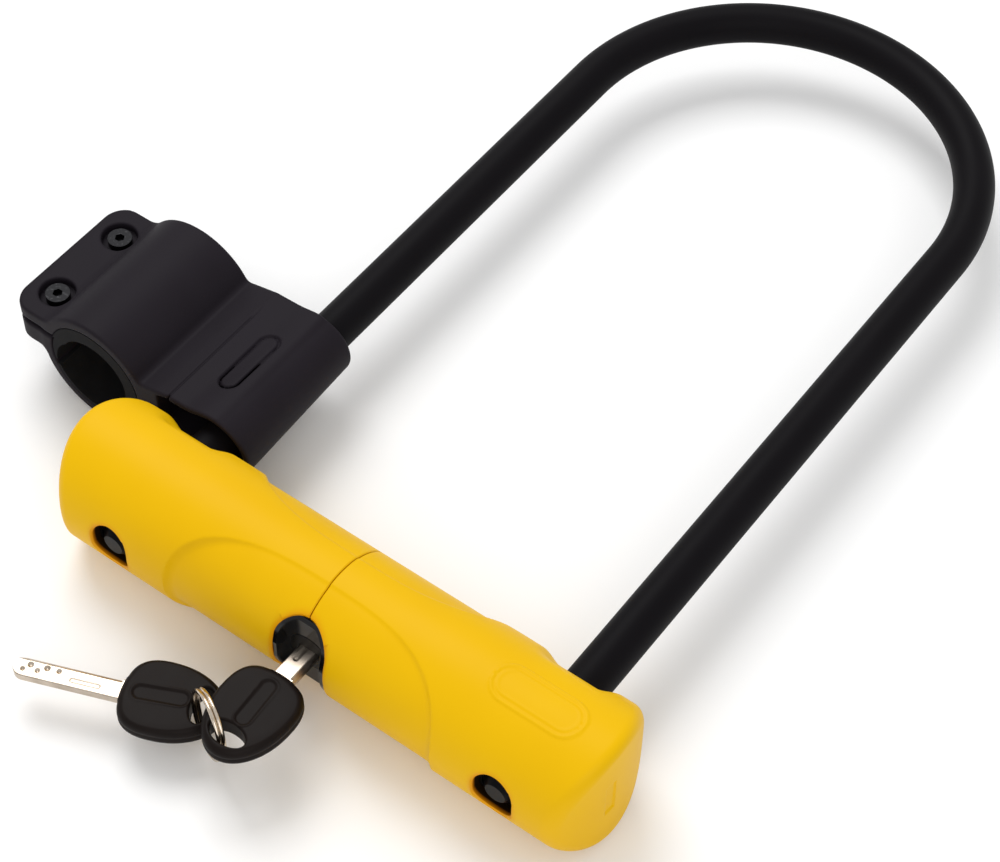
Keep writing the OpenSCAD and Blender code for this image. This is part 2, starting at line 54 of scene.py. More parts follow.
def add(tree, kind, inputs=None, **settings):
    """Adds a node. Settings are its own properties; inputs are values, or the sockets that feed it."""
    made = tree.nodes.new(kind)
    for name, value in settings.items():
        setattr(made, name, value)
    for name, value in (inputs or {}).items():
        if isinstance(value, bpy.types.NodeSocket):
            tree.links.new(value, made.inputs[name])
        else:
            made.inputs[name].default_value = value
    return made


def new_material(name):
    """An empty node material: the material, its tree, and its Object coordinates."""
    made = bpy.data.materials.new(name)
    made.use_nodes = True
    made.node_tree.nodes.clear()
    place = add(made.node_tree, "ShaderNodeTexCoord").outputs["Object"]
    return made, made.node_tree, place


def wear(node, material):
    """Gives a CAD node's object the finished material in all of its slots."""
    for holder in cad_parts[node].material_slots:
        holder.material = material


# Dipped enamel on steel: a deep, even black with a low sheen and a slow orange-peel ripple.
enamel, tree, place = new_material("dipped_black_enamel")
ripple = add(tree, "ShaderNodeTexNoise", {"Vector": place, "Scale": 420.0, "Detail": 2.0})
bump = add(tree, "ShaderNodeBump", {"Height": ripple.outputs["Fac"], "Strength": 0.25, "Distance": 0.00006})
tone = add(tree, "ShaderNodeMix", {
    "Factor": ripple.outputs["Fac"], "A": linear("#050506"), "B": linear("#0B0B0D")}, data_type="RGBA")
paint = add(tree, "ShaderNodeBsdfPrincipled", {
    "Base Color": tone.outputs["Result"], "Roughness": 0.3, "Specular IOR Level": 0.07,
    "Normal": bump.outputs["Normal"]})
add(tree, "ShaderNodeOutputMaterial", {"Surface": paint.outputs["BSDF"]})

# Turned and ground steel: grey, with fine rings round the axis that stretch the highlights.
ground_steel, tree, place = new_material("ground_carbon_steel")
stretch = add(tree, "ShaderNodeMapping", {"Vector": place, "Scale": (2600.0, 160.0, 160.0)})
lines = add(tree, "ShaderNodeTexNoise", {"Vector": stretch.outputs["Vector"], "Scale": 1.0, "Detail": 3.0})
tone = add(tree, "ShaderNodeMix", {
    "Factor": lines.outputs["Fac"], "A": linear("#6E6E71"), "B": linear("#A9A9AC")}, data_type="RGBA")
matt = add(tree, "ShaderNodeMapRange", {"Value": lines.outputs["Fac"], "To Min": 0.24, "To Max": 0.42})
bump = add(tree, "ShaderNodeBump", {"Height": lines.outputs["Fac"], "Strength": 0.2, "Distance": 0.00003})
metal = add(tree, "ShaderNodeBsdfPrincipled", {
    "Base Color": tone.outputs["Result"], "Metallic": 1.0, "Roughness": matt.outputs["Result"],
    "Normal": bump.outputs["Normal"]})
add(tree, "ShaderNodeOutputMaterial", {"Surface": metal.outputs["BSDF"]})

# Die-cast zinc: a pale, slightly mottled skin with the grain of the mould.
cast_zinc, tree, place = new_material("die_cast_zinc")
grain = add(tree, "ShaderNodeTexNoise", {"Vector": place, "Scale": 900.0, "Detail": 4.0})
tone = add(tree, "ShaderNodeMix", {
    "Factor": grain.outputs["Fac"], "A": linear("#8E8C87"), "B": linear("#C2BFB8")}, data_type="RGBA")
bump = add(tree, "ShaderNodeBump", {"Height": grain.outputs["Fac"], "Strength": 0.3, "Distance": 0.00005})
metal = add(tree, "ShaderNodeBsdfPrincipled", {
    "Base Color": tone.outputs["Result"], "Metallic": 0.9, "Roughness": 0.42,
    "Normal": bump.outputs["Normal"]})
add(tree, "ShaderNodeOutputMaterial", {"Surface": metal.outputs["BSDF"]})

wear("lock_tube", enamel)
for inner in ("bolt_guide_left", "bolt_guide_right"):
    wear(inner, cast_zinc)
for inner in ("tube_end_plugs", "bolt_left", "bolt_right", "cam_disc", "plug_clip"):
    wear(inner, ground_steel)


# ---- Lock cylinder and escutcheon ---------------------------------------------------------
# A brass plug with five pin stacks turns in a zinc housing; the escutcheon is a press-in
# moulding of gloss black ABS that lines the oval key mouth.

# Turned brass for the pins: yellow metal with a light oxide film.
turned_brass, tree, place = new_material("turned_brass")
film = add(tree, "ShaderNodeTexNoise", {"Vector": place, "Scale": 700.0, "Detail": 3.0})
tone = add(tree, "ShaderNodeMix", {
    "Factor": film.outputs["Fac"], "A": linear("#8F6E2C"), "B": linear("#C9A75A")}, data_type="RGBA")
bump = add(tree, "ShaderNodeBump", {"Height": film.outputs["Fac"], "Strength": 0.15, "Distance": 0.00003})
metal = add(tree, "ShaderNodeBsdfPrincipled", {
    "Base Color": tone.outputs["Result"], "Metallic": 1.0, "Roughness": 0.3,
    "Normal": bump.outputs["Normal"]})
add(tree, "ShaderNodeOutputMaterial", {"Surface": metal.outputs["BSDF"]})

# The plug is coloured near black, with small random flecks of paler bare brass.
black_brass, tree, place = new_material("near_black_brass")
rub = add(tree, "ShaderNodeTexNoise", {"Vector": place, "Scale": 900.0, "Detail": 3.0})
bared = add(tree, "ShaderNodeMapRange", {"Value": rub.outputs["Fac"], "From Min": 0.6, "From Max": 0.8})
tone = add(tree, "ShaderNodeMix", {
    "Factor": bared.outputs["Result"], "A": linear("#0D0C0B"), "B": linear("#3A3328")}, data_type="RGBA")
metal = add(tree, "ShaderNodeBsdfPrincipled", {
    "Base Color": tone.outputs["Result"], "Metallic": 0.6, "Roughness": 0.4, "Specular IOR Level": 0.2})
add(tree, "ShaderNodeOutputMaterial", {"Surface": metal.outputs["BSDF"]})

# Polished-mould ABS: near black, with a clear gloss and a faint flow mark in the moulding.
gloss_abs, tree, place = new_material("gloss_black_abs")
flow = add(tree, "ShaderNodeTexNoise", {"Vector": place, "Scale": 180.0, "Detail": 1.0})
tone = add(tree, "ShaderNodeMix", {
    "Factor": flow.outputs["Fac"], "A": linear("#060607"), "B": linear("#0E0E10")}, data_type="RGBA")
bump = add(tree, "ShaderNodeBump", {"Height": flow.outputs["Fac"], "Strength": 0.2, "Distance": 0.00008})
plastic = add(tree, "ShaderNodeBsdfPrincipled", {
    "Base Color": tone.outputs["Result"], "Roughness": 0.16, "IOR": 1.53, "Specular IOR Level": 0.3,
    "Normal": bump.outputs["Normal"]})
add(tree, "ShaderNodeOutputMaterial", {"Surface": plastic.outputs["BSDF"]})

wear("cylinder_housing", cast_zinc)
wear("plug", black_brass)
wear("key_pins", turned_brass)
for inner in ("driver_pins", "pin_springs"):
    wear(inner, ground_steel)
wear("key_escutcheon", gloss_abs)


# ---- Covers -------------------------------------------------------------------------------
# Two yellow mouldings of impact-modified ABS are pushed over the tube and meet at its middle.
# Each has a shallow grip recess at the front and the back, a bowl where its leg enters, an
# oval mouth for the foot's tip and half of the key mouth.

BAR_R, GRIP_R, FLOOR_R, BORE_R = 20.0, 19.1, 18.75, 16.8
BAR_HALF, LEG_X = 84.4, 61.0
EDGE_R, FACE_R, DRAW_FROM = 3.0, 35.0, 70.0
TUBE_END = 76.1
MOUTH_EDGE = 0.55
FRONT_RECESS, BACK_RECESS, RECESS_POWER = (42.6, 27.6), (40.6, 24.2), 2.7
BOWL_DEPTH, BOWL_FLAT, BOWL_FLANK = 1.8, 5.5, 6.5
BADGE_ANGLE, BADGE_LONG, BADGE_WIDE = math.radians(92.5), 13.6, 5.9


def ease(t):
    """A smooth step from 0 to 1: three t squared less two t cubed, held flat outside 0 to 1."""
    t = np.clip(t, 0, 1)
    return t * t * (3 - 2 * t)


def spaced(stops, steps):
    """Grid lines from stop to stop, with each stretch divided into equal parts of about its own step."""
    parts = [np.linspace(a, b, max(2, round((b - a) / step) + 1))[:-1]
             for a, b, step in zip(stops, stops[1:], steps)]
    return np.concatenate([*parts, [stops[-1]]])


def past_rim(x, arc, half_x, half_arc):
    """How far a point lies past a superellipse, along the ray from its middle; negative inside."""
    rho = (np.abs(x / half_x) ** RECESS_POWER + np.abs(arc / half_arc) ** RECESS_POWER) ** (1 / RECESS_POWER)
    return np.hypot(x, arc) * (1 - 1 / np.maximum(rho, 1e-6))


def past_stadium(u, v, half_long, half_wide):
    """Distance past a stadium that is long in u: two round ends joined by straight sides."""
    return np.hypot(np.maximum(np.abs(u) - half_long + half_wide, 0), v) - half_wide


def hole_reach(cx, cz, half_w, straight):
    """Distance from an upright stadium's middle to its edge in direction (cx, cz).

    It is the half width over cx on the flat sides, and the far crossing of the end's circle elsewhere.
    """
    flat = half_w / np.maximum(np.abs(cx), 1e-9)
    round_end = straight * np.abs(cz) + np.sqrt(np.maximum(half_w ** 2 - (straight * cx) ** 2, 0))
    return np.where(flat * np.abs(cz) <= straight, flat, round_end)


def cover_surface(x, theta, badge):
    """The cover's outer radius: an eased barrel, less the grip recesses and the bowl, plus the badge.

    Each recess drops to its floor in a curve that starts sharply at its rim and ends softly.
    The bowl round the leg's hole has a flat middle and a firm shoulder. It follows the bar's roundness as
    far as 38 degrees from the back, then fades out.
    """
    radius = GRIP_R + (BAR_R - GRIP_R) * ease((x - 14) / 30)
    front_arc = BAR_R * (np.pi - np.mod(theta, 2 * np.pi))
    back_arc = BAR_R * (np.mod(theta + np.pi, 2 * np.pi) - np.pi)
    for arc, (half_x, half_arc) in ((front_arc, FRONT_RECESS), (back_arc, BACK_RECESS)):
        depth = np.maximum(radius - FLOOR_R, 0)
        width = 0.9 + 1.5 * depth
        inward = np.clip(-past_rim(x, arc, half_x, half_arc) / width, 0, 1)
        radius = radius - depth * (1 - (1 - inward) ** 2) * ease(inward * 4)
    from_back = np.degrees(np.abs(np.mod(theta + np.pi, 2 * np.pi) - np.pi))
    bowl = BOWL_DEPTH * (1 - ease((np.abs(x - LEG_X) - BOWL_FLAT) / BOWL_FLANK))
    radius = radius - bowl * (1 - ease((from_back - 38) / 20))
    if badge:
        past = past_stadium(x - LEG_X, BAR_R * (theta - BADGE_ANGLE), BADGE_LONG, BADGE_WIDE)
        radius = radius + 0.3 * ease((past + 1.35) / 0.45) * ease(-past / 0.45)
        radius = radius + 0.16 * ease((past + 2.75) / 0.35) * ease((-1.75 - past) / 0.35)
    return radius


def open_hole(x, theta, rows, cols, middle_x, facing, sheet_r, half_w, straight, spread):
    """Slides grid points so that a block of cells fits an oval hole that is cut straight along Y.

    Seen along Y, each point keeps its direction from the hole's middle. The block's own edge lands on
    the oval, and the shift fades to nothing at spread times the block. Returns the distance past the oval.
    """
    px, pz = x - middle_x, sheet_r * np.sin(theta)
    left, right = middle_x - x[rows[0], 0], x[rows[1], 0] - middle_x
    ends = np.sort(sheet_r * np.sin(theta[0, list(cols)]))
    a = np.where(px < 0, max(left, 1e-3) if rows[0] else right, right)
    b = np.where(pz < 0, -ends[0], ends[1])
    share = np.maximum(np.abs(px) / a, np.abs(pz) / b)
    away = np.maximum(np.hypot(px, pz), 1e-6)
    reach = hole_reach(px / away, pz / away, half_w, straight)
    near = (np.cos(theta) * facing > 0) & (share < spread)
    shift = (reach - away / np.maximum(share, 1e-6)) * (1 - ease((share - 1) / (spread - 1)))
    grown = np.where(near & (share > 0.98), (away + shift) / away, 1)
    new_z = np.clip(pz * grown / sheet_r, -1, 1)
    turned = np.arcsin(new_z) if facing > 0 else np.pi - np.arcsin(new_z)
    x[:] = np.where(grown != 1, middle_x + px * grown, x)
    theta[:] = np.where(grown != 1, turned, theta)
    return np.where(np.cos(theta) * facing > 0, away * grown - reach, 99.0)


def grid_faces(ids, wrap_rows=False, wrap_cols=False):
    """Four-sided faces between neighbouring rows and columns of a grid of vertex numbers."""
    if wrap_rows:
        ids = np.vstack([ids, ids[:1]])
    if wrap_cols:
        ids = np.hstack([ids, ids[:, :1]])
    return np.stack([ids[:-1, :-1], ids[:-1, 1:], ids[1:, 1:], ids[1:, :-1]], -1).reshape(-1, 4)


def make_piece(name, points, faces, body, stands_for, material, sharp=38.0):
    """A mesh from points in mm and arrays of faces. It rides on its body and stands for its CAD nodes."""
    mesh = bpy.data.meshes.new(name)
    sides = np.concatenate([np.full(len(f), f.shape[1]) for f in faces])
    corners = np.concatenate([f.ravel() for f in faces]).astype(np.int32)
    mesh.vertices.add(len(points))
    mesh.vertices.foreach_set("co", (np.asarray(points) * MM).astype(np.float32).ravel())
    mesh.loops.add(len(corners))
    mesh.loops.foreach_set("vertex_index", corners)
    mesh.polygons.add(len(sides))
    mesh.polygons.foreach_set("loop_start", (np.cumsum(sides) - sides).astype(np.int32))
    mesh.polygons.foreach_set("use_smooth", np.ones(len(sides), bool))
    mesh.update(calc_edges=True)
    mesh.set_sharp_from_angle(angle=math.radians(sharp))
    mesh.materials.append(material)
    piece = bpy.data.objects.new(name, mesh)
    bpy.context.scene.collection.objects.link(piece)
    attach(piece, body)
    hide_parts(*stands_for)
    return piece


# Moulded ABS in signal yellow: an even satin skin from a spark-eroded mould, with slow drifts of tone.
# Round the mouths light is painted in: an orange painted glow at the thin edges, and near-black painted
# shade inside them.
yellow_abs, tree, place = new_material("yellow_moulded_abs")
drift = add(tree, "ShaderNodeTexNoise", {"Vector": place, "Scale": 28.0, "Detail": 2.0})
tone = add(tree, "ShaderNodeMix", {
    "Factor": drift.outputs["Fac"], "A": linear("#DFAC00"), "B": linear("#E9B900")}, data_type="RGBA")
# Painted light: the mouth attribute blends in an orange painted glow near each hole; above 0.75 it turns to
# near-black painted shade.
edge = add(tree, "ShaderNodeAttribute", attribute_name="mouth")
warm = add(tree, "ShaderNodeMix", {
    "Factor": edge.outputs["Fac"], "A": tone.outputs["Result"], "B": linear("#D98200")}, data_type="RGBA")
deep = add(tree, "ShaderNodeMapRange", {"Value": edge.outputs["Fac"], "From Min": 0.75, "From Max": 1.4})
shade = add(tree, "ShaderNodeMix", {
    "Factor": deep.outputs["Result"], "A": warm.outputs["Result"], "B": linear("#1A0E02")}, data_type="RGBA")
spark = add(tree, "ShaderNodeTexNoise", {"Vector": place, "Scale": 2400.0, "Detail": 2.0})
bump = add(tree, "ShaderNodeBump", {"Height": spark.outputs["Fac"], "Strength": 0.22, "Distance": 0.00005})
matt = add(tree, "ShaderNodeMapRange", {"Value": drift.outputs["Fac"], "To Min": 0.42, "To Max": 0.5})
plastic = add(tree, "ShaderNodeBsdfPrincipled", {
    "Base Color": shade.outputs["Result"], "Roughness": matt.outputs["Result"], "IOR": 1.49,
    "Specular IOR Level": 0.1, "Normal": bump.outputs["Normal"]})
add(tree, "ShaderNodeOutputMaterial", {"Surface": plastic.outputs["BSDF"]})

for side, cover_name in ((1, "cover_right"), (-1, "cover_left")):
    along = np.concatenate([[0.15, 0.4], spaced([0.8, 36, 75, BAR_HALF - EDGE_R], [0.75, 0.5, 0.8])])
    bend = np.radians(np.arange(9, 91, 9))
    cap_r = np.linspace(BAR_R - EDGE_R, 0.5, 48)[1:]
    row_x = np.concatenate([along, BAR_HALF - EDGE_R + EDGE_R * np.sin(bend),
                            np.full(len(cap_r), BAR_HALF)])
    end_r = np.concatenate([BAR_R - EDGE_R + EDGE_R * np.cos(bend), cap_r])
    degrees = spaced([-80, 40, 60, 120, 180, 280], [1.5, 1.2, 0.8, 1.2, 1.8])[:-1]
    x, theta = np.meshgrid(row_x, np.radians(degrees), indexing="ij")
    count = len(along)
    bore_rows = int(np.searchsorted(along, TUBE_END))
    inner_x, inner_theta = x[:bore_rows].copy(), theta[:bore_rows].copy()
    # The end face bows out about an upright axis, so the rows before it are drawn back with it.
    rim_r = np.concatenate([np.full(count, BAR_R), end_r])[:, None]
    drawn_back = FACE_R - np.sqrt(FACE_R ** 2 - (rim_r * np.cos(theta)) ** 2)
    x -= drawn_back * ease((row_x[:, None] - DRAW_FROM) / (BAR_HALF - EDGE_R - DRAW_FROM))

    # Each hole: its middle, the side it faces, the sheet's radius there, its half width, half its straight
    # stretch, the half sizes of its block of cells, and how far round the block the grid gives way.
    holes = [(LEG_X, -1, 19.95, 5.8, 1.5, 5.2, 6.6, 1.7), (0.0, -1, 18.85, 8.0, 6.0, 7.2, 12.7, 1.33),
             (LEG_X, 1, 18.4, 6.35, 0.0, 5.65, 5.65, 1.8)]
    gone = np.zeros((count, len(degrees)), bool)
    past = np.full(x.shape, 99.0)
    inner_past = np.full(inner_x.shape, 99.0)
    for middle_x, facing, sheet_r, half_w, straight, block_x, block_z, spread in holes:
        middle_deg = 0 if facing > 0 else 180
        swing = math.degrees(math.asin(block_z / sheet_r))
        rows = [int(np.abs(along - middle_x + block_x * s).argmin()) if middle_x or s < 0 else 0
                for s in (1, -1)]
        cols = [int(np.abs(degrees - middle_deg + swing * s).argmin()) for s in (1, -1)]
        outside = open_hole(x[:count], theta[:count], rows, cols, middle_x, facing, sheet_r,
                            half_w, straight, spread)
        past[:count] = np.minimum(past[:count], outside)
        inside = open_hole(inner_x, inner_theta, rows, cols, middle_x, facing, BORE_R,
                           half_w, straight, spread)
        inner_past = np.minimum(inner_past, inside)
        gone[rows[0]:rows[1], cols[0]:cols[1]] = True

    radius = cover_surface(x, theta, badge=side > 0)
    radius[count:] = end_r[:, None]
    radius[0] -= 0.22
    near = np.clip(MOUTH_EDGE - np.maximum(past, 0), 0, MOUTH_EDGE)
    radius = radius - (MOUTH_EDGE - np.sqrt(MOUTH_EDGE ** 2 - near ** 2))
    if side > 0:
        # A plain sunk panel in the end face, where the mould's insert sits.
        panel = np.maximum(np.abs(radius * np.sin(theta) - 1.0) - 6.2,
                           np.abs(radius * np.cos(theta) + 3.0) - 1.9)
        x[count + 9:] -= 0.45 * ease(-panel[count + 9:] / 0.5)
    outer = np.stack([x, radius * np.cos(theta), radius * np.sin(theta)], -1).reshape(-1, 3)
    inner = np.stack([inner_x, BORE_R * np.cos(inner_theta), BORE_R * np.sin(inner_theta)], -1)
    inner = inner.reshape(-1, 3)
    O = np.arange(len(outer)).reshape(x.shape)
    I = len(outer) + np.arange(len(inner)).reshape(inner_x.shape)
    pole, bore_end = len(outer) + len(inner), len(outer) + len(inner) + 1
    points = np.vstack([outer, inner, [[BAR_HALF, 0, 0], [inner_x[-1, 0], 0, 0]]])
    points[O[-1], 0] = x[-1]

    solid = np.vstack([~gone[:count - 1], np.ones((len(row_x) - count, len(degrees)), bool)])
    step_on = np.roll(np.arange(len(degrees)), -1)
    outer_faces = np.stack([O[:-1], O[:-1][:, step_on], O[1:][:, step_on], O[1:]], -1)[solid]
    kept = solid[:bore_rows - 1]
    inner_faces = np.stack([I[:-1], I[1:], I[1:][:, step_on], I[:-1][:, step_on]], -1)[kept]
    before = np.vstack([np.zeros((1, len(degrees)), bool), kept[:-1]])
    starts_here, ends_here = kept & ~before, before & ~kept
    On, In = O[:bore_rows - 1], I[:bore_rows - 1]
    walls = [np.stack([On[:, step_on], On, In, In[:, step_on]], -1)[starts_here],
             np.stack([On, On[:, step_on], In[:, step_on], In], -1)[ends_here]]
    before = np.roll(kept, 1, axis=1)
    Onext, Inext = O[1:bore_rows], I[1:bore_rows]
    walls += [np.stack([On, Onext, Inext, In], -1)[kept & ~before],
              np.stack([Onext, On, In, Inext], -1)[before & ~kept]]
    tip = np.stack([O[-1], O[-1][step_on], np.full(len(degrees), pole)], -1)
    plate = np.stack([I[-1], np.full(len(degrees), bore_end), I[-1][step_on]], -1)
    faces = [outer_faces, inner_faces, *walls, tip, plate]
    if side < 0:
        points = points * [-1, 1, 1]
        faces = [f[:, ::-1] for f in faces]
    cover = make_piece("moulded_" + cover_name, points, faces,
                       "crossbar", [cover_name], yellow_abs)
    # The mouth values are painted light: up to 0.75 an orange painted glow on the outer skin near each hole,
    # and up to 2.4 near-black painted shade on the bore side of its walls.
    mouth_painted_glow_and_shade = np.concatenate([0.75 * np.clip(1 - np.maximum(past, 0).ravel() / 2.2, 0, 1) ** 2,
                           2.4 * np.clip(1 - np.maximum(inner_past, 0).ravel(), 0, 1), [0, 0]])
    mouth_painted_light_layer = cover.data.attributes.new("mouth", "FLOAT", "POINT")
    mouth_painted_light_layer.data.foreach_set("value", mouth_painted_glow_and_shade.astype(np.float32))


# ---- Shackle ------------------------------------------------------------------------------
# One bent bar of hardened steel. Its feet are enamelled black and chamfered; from the crossbar
# on it wears a skin-tight sleeve of soft black vinyl.

COAT_R, ROD_R, LEG_END, COAT_START = 6.0, 5.02, 195.0, 17.1

# Plasticised vinyl: a dull black skin with a fine leather-like grain and faint rub marks along it.
soft_vinyl, tree, place = new_material("plasticised_black_vinyl")
grain = add(tree, "ShaderNodeTexNoise", {"Vector": place, "Scale": 1500.0, "Detail": 3.0})
cloud = add(tree, "ShaderNodeTexNoise", {"Vector": place, "Scale": 55.0, "Detail": 3.0})
tone = add(tree, "ShaderNodeMix", {
    "Factor": cloud.outputs["Fac"], "A": linear("#0A080B"), "B": linear("#100E11")}, data_type="RGBA")
bump = add(tree, "ShaderNodeBump", {"Height": grain.outputs["Fac"], "Strength": 0.3, "Distance": 0.00006})
matt = add(tree, "ShaderNodeMapRange", {"Value": cloud.outputs["Fac"], "To Min": 0.44, "To Max": 0.6})
plastic = add(tree, "ShaderNodeBsdfPrincipled", {
    "Base Color": tone.outputs["Result"], "Roughness": matt.outputs["Result"], "IOR": 1.52,
    "Specular IOR Level": 0.06, "Normal": bump.outputs["Normal"]})
add(tree, "ShaderNodeOutputMaterial", {"Surface": plastic.outputs["BSDF"]})

# The sleeve is a ring-shaped section carried along the U: two straight legs and a half circle.
turn = np.linspace(0, np.pi, 121)
legs_y = np.linspace(COAT_START + 0.8, LEG_END, 60)[:-1]
ring_y = np.concatenate([[COAT_START, COAT_START + 0.15, COAT_START + 0.4], legs_y])
path = np.concatenate([
    np.stack([np.full(len(ring_y), LEG_X), ring_y], -1),
    np.stack([LEG_X * np.cos(turn), LEG_END + LEG_X * np.sin(turn)], -1),
    np.stack([np.full(len(ring_y), -LEG_X), ring_y[::-1]], -1)])
sideways = np.concatenate([
    np.tile([1.0, 0.0], (len(ring_y), 1)), np.stack([np.cos(turn), np.sin(turn)], -1),
    np.tile([-1.0, 0.0], (len(ring_y), 1))])
swell = np.full(len(path), COAT_R)
swell[[0, -1]] -= 0.35
swell[[1, -2]] -= 0.1
SLEEVE_SIDES = 56
around = np.linspace(0, 2 * np.pi, SLEEVE_SIDES + 1)[:-1]
loops = []
for section_r in (swell, np.full(len(path), ROD_R)):
    flat = path[:, None, :] + sideways[:, None, :] * (section_r[:, None] * np.cos(around))[..., None]
    loops.append(np.concatenate([flat, (section_r[:, None] * np.sin(around))[..., None]], -1))
skin_out, skin_in = np.arange(2 * len(path) * SLEEVE_SIDES).reshape(2, -1, SLEEVE_SIDES)
ends = [np.vstack([skin_out[0], skin_in[0]]), np.vstack([skin_in[-1], skin_out[-1]])]
make_piece("vinyl_sleeve", np.concatenate(loops).reshape(-1, 3),
           [grid_faces(skin_out, wrap_cols=True)[:, ::-1], grid_faces(skin_in, wrap_cols=True),
            *[grid_faces(e, wrap_cols=True) for e in ends]],
           "shackle", ["shackle_coat"], soft_vinyl)
wear("shackle_rod", enamel)


# ---- Keys ---------------------------------------------------------------------------------
# Two keys with milled nickel silver blades. Each bow is an egg of black ABS moulded over the
# blade's tang, with a lens-shaped hole for the ring and a sunk oval panel on both faces.

BOW_L, BOW_W, BOW_T, NECK = 27.0, 21.5, 6.0, 3.6
HOLE_Y, HOLE_W, HOLE_H = -21.3, 10.4, 5.9
BLADE_L, BLADE_W, BLADE_T, TANG = 29.0, 5.8, 2.5, 9.0
KEY_FACE = -23.5
SPARE_TURN, SPARE_AT = math.radians(111.2), (-34.1, -46.3, -9.0)


def bow_points():
    """A closed ring of loops round the bow.

    Each loop starts at the outline, rounds onto the top face, crosses it to the hole, goes down through
    the hole and comes back underneath. The outline's half width at depth t is half the bow's width times
    the square root of 1 - |2 t^0.72 - 1|^2.3. It is read off in polar form round the hole's middle.
    """
    t = np.linspace(0, 1, 700)
    half = BOW_W / 2 * np.sqrt(np.maximum(0, 1 - np.abs(2 * t ** 0.72 - 1) ** 2.3))
    half = np.maximum(half, np.where(t < 0.5, NECK, 0))
    right = np.stack([half, -BOW_L * t - HOLE_Y], -1)
    rim = np.vstack([right, (right * [-1, 1])[::-1]])
    angle, reach = np.arctan2(rim[:, 1], rim[:, 0]), np.hypot(rim[:, 0], rim[:, 1])
    order = np.argsort(angle)
    phi = np.linspace(-np.pi, np.pi, 241)[:-1]
    E = np.interp(phi, angle[order], reach[order], period=2 * np.pi)
    H = 1 / np.sqrt((np.cos(phi) / (HOLE_W / 2)) ** 2 + (np.sin(phi) / (HOLE_H / 2)) ** 2)
    round_out, round_in, half_t = 1.9, 0.8, BOW_T / 2
    arc = np.radians(np.linspace(0, 90, 9))
    share = ease(np.linspace(0, 1, 66)[1:-1]) * 0.3 + np.linspace(0, 1, 66)[1:-1] * 0.7
    reach_rows = np.concatenate([
        E[:, None] - round_out * (1 - np.cos(arc)),
        (E[:, None] - round_out) * (1 - share) + (H[:, None] + round_in) * share,
        H[:, None] + round_in * (1 - np.cos(arc[::-1]))], 1)
    z_rows = np.concatenate([half_t - round_out + round_out * np.sin(arc), np.full(len(share), half_t),
                             half_t - round_in + round_in * np.sin(arc[::-1])])
    px, py = reach_rows * np.cos(phi)[:, None], reach_rows * np.sin(phi)[:, None] + HOLE_Y
    tilt = math.radians(4)
    along = (py + 10.4) * math.cos(tilt) - px * math.sin(tilt)
    across = px * math.cos(tilt) + (py + 10.4) * math.sin(tilt)
    past = past_stadium(along, across, 7.4, 2.2)
    outward = np.clip((E[:, None] - reach_rows) / 5.0, 0, 1)
    panel = 0.34 * ease(-past / 0.5) - 0.12 * ease(1 - np.abs(past - 0.35) / 0.35)
    top = z_rows - 0.28 * (1 - outward) ** 2 - panel
    seam_in = reach_rows[:, :1] - 0.32
    seam_x, seam_y = seam_in * np.cos(phi)[:, None], seam_in * np.sin(phi)[:, None] + HOLE_Y
    lip = np.array([[0.16, -0.16]])
    loop_x = np.hstack([px, px[:, ::-1], np.tile(seam_x, 2)])
    loop_y = np.hstack([py, py[:, ::-1], np.tile(seam_y, 2)])
    loop_z = np.hstack([top, -top[:, ::-1], np.tile(-lip, (len(phi), 1))])
    return np.stack([loop_x, loop_y, loop_z], -1)


def blade_points():
    """Sections carried along the blade.

    Across the top the height dips for a bevel along one edge, five round pits and one long shallow mark.
    The width shrinks to the tip as a half circle does.
    """
    y = np.concatenate([np.linspace(-TANG, 0, 6)[:-1], np.linspace(0, BLADE_L - 0.06, 150)])
    into_tip = np.clip((y - (BLADE_L - BLADE_W / 2)) / (BLADE_W / 2), 0, 0.9999)
    half = (BLADE_W / 2) * np.sqrt(1 - into_tip ** 2)
    u = np.linspace(-1, 1, 34)
    px = half[:, None] * np.sin(u * np.pi / 2)[None, :]
    py = np.repeat(y[:, None], len(u), 1)
    edge_in = half[:, None] - np.abs(px)
    rounding = 0.22 * (1 - np.clip(edge_in / 0.3, 0, 1)) ** 2
    bevel = 0.75 * ease((px - BLADE_W / 2 + 1.15) / 1.15) * (py > 0.6)
    pits = sum(0.42 * ease(1 - np.hypot(px - a, py - b) / r) for a, b, r in (
        (0.75, 24.6, 1.0), (-0.5, 22.4, 0.8), (0.8, 20.2, 1.0), (0.7, 17.0, 0.8), (-0.9, 26.2, 0.7)))
    mark = 0.14 * ease(1 - np.maximum(past_stadium(py - 9.5, px + 0.9, 4.2, 0.7) + 0.3, 0) / 0.3)
    top = BLADE_T / 2 - rounding - bevel - pits - mark
    under = -BLADE_T / 2 + rounding
    return np.stack([np.hstack([px, px[:, ::-1]]), np.hstack([py, py]),
                     np.hstack([top, under[:, ::-1]])], -1)


# Overmoulded ABS with a satin skin, a little browner and shinier from the hand than the bracket.
bow_abs, tree, place = new_material("satin_black_abs")
grain = add(tree, "ShaderNodeTexNoise", {"Vector": place, "Scale": 2600.0, "Detail": 2.0})
smear = add(tree, "ShaderNodeTexNoise", {"Vector": place, "Scale": 160.0, "Detail": 3.0})
tone = add(tree, "ShaderNodeMix", {
    "Factor": smear.outputs["Fac"], "A": linear("#120D0B"), "B": linear("#1B1513")}, data_type="RGBA")
bump = add(tree, "ShaderNodeBump", {"Height": grain.outputs["Fac"], "Strength": 0.3, "Distance": 0.00005})
matt = add(tree, "ShaderNodeMapRange", {"Value": smear.outputs["Fac"], "To Min": 0.38, "To Max": 0.5})
plastic = add(tree, "ShaderNodeBsdfPrincipled", {
    "Base Color": tone.outputs["Result"], "Roughness": matt.outputs["Result"], "IOR": 1.53,
    "Specular IOR Level": 0.07, "Normal": bump.outputs["Normal"]})
add(tree, "ShaderNodeOutputMaterial", {"Surface": plastic.outputs["BSDF"]})

